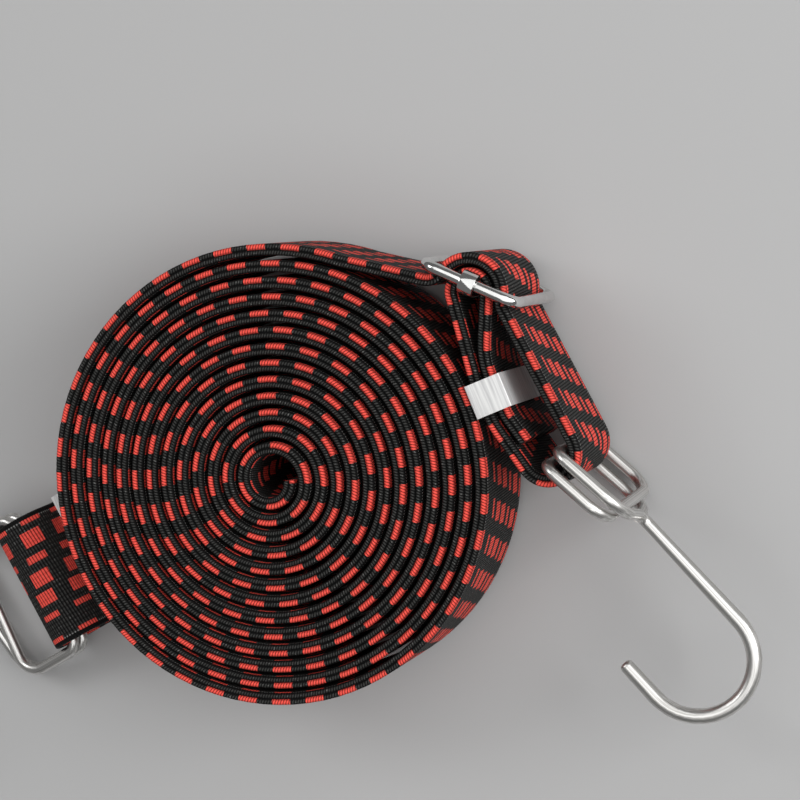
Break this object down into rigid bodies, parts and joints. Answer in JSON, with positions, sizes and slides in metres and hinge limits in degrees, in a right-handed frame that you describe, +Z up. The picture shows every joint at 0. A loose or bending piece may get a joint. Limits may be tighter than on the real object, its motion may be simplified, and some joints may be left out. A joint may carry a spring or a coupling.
{
  "type": "flat bungee strap",
  "caption": "Flat elastic bungee strap rolled up on edge, with a double-wound wire J-hook folded into each end, crimped clips and a wire slide buckle near the outer end.",
  "frame": {"origin": "middle of the part's bounding box, on the table it lies on", "axes": "+Z up along the axis of the roll, +X from the inner end's hook to the outer end's hook, +Y towards the buckle"},
  "size_m": [0.2626, 0.132, 0.0459],
  "materials": {
    "webbing": "woven black elastic webbing with dashes of red yarn",
    "hook_steel": "bright zinc plated wire",
    "buckle_chrome": "bright nickel plated wire and strip",
    "clip_aluminium": "brushed"
  },
  "bodies": {
    "strap": {"strap_coil": "webbing", "strap_lead": "webbing", "strap_tail": "webbing", "strap_tail_loop": "webbing", "loop_clip": "clip_aluminium", "tail_clip": "clip_aluminium"},
    "frame": {"buckle_frame": "buckle_chrome"},
    "bar": {"buckle_bar": "buckle_chrome"},
    "right_hook": {"hook_right": "hook_steel"},
    "left_hook": {"hook_left": "hook_steel"}
  },
  "joints": [
    {"name": "right_hook_swing", "type": "hinge", "parent": "strap", "child": "right_hook", "pos_m": [0.083, 0.014, 0.02295], "axis": [0, 0, 1], "range_deg": [-20, 20]},
    {"name": "left_hook_lift", "type": "hinge", "parent": "strap", "child": "left_hook", "pos_m": [-0.06516, -0.027, 0.00965], "axis": [-0.5, 0.866, 0], "range_deg": [0, 30]},
    {"name": "buckle_rock", "type": "hinge", "parent": "strap", "child": "frame", "pos_m": [0.06153, 0.05429, 0.02295], "axis": [0, 0, 1], "range_deg": [-2.5, 2.5]},
    {"name": "bar_slide", "type": "slide", "parent": "frame", "child": "bar", "axis": [0.9252, -0.3795, 0], "range_m": [-0.0004, 0.0004]}
  ]
}
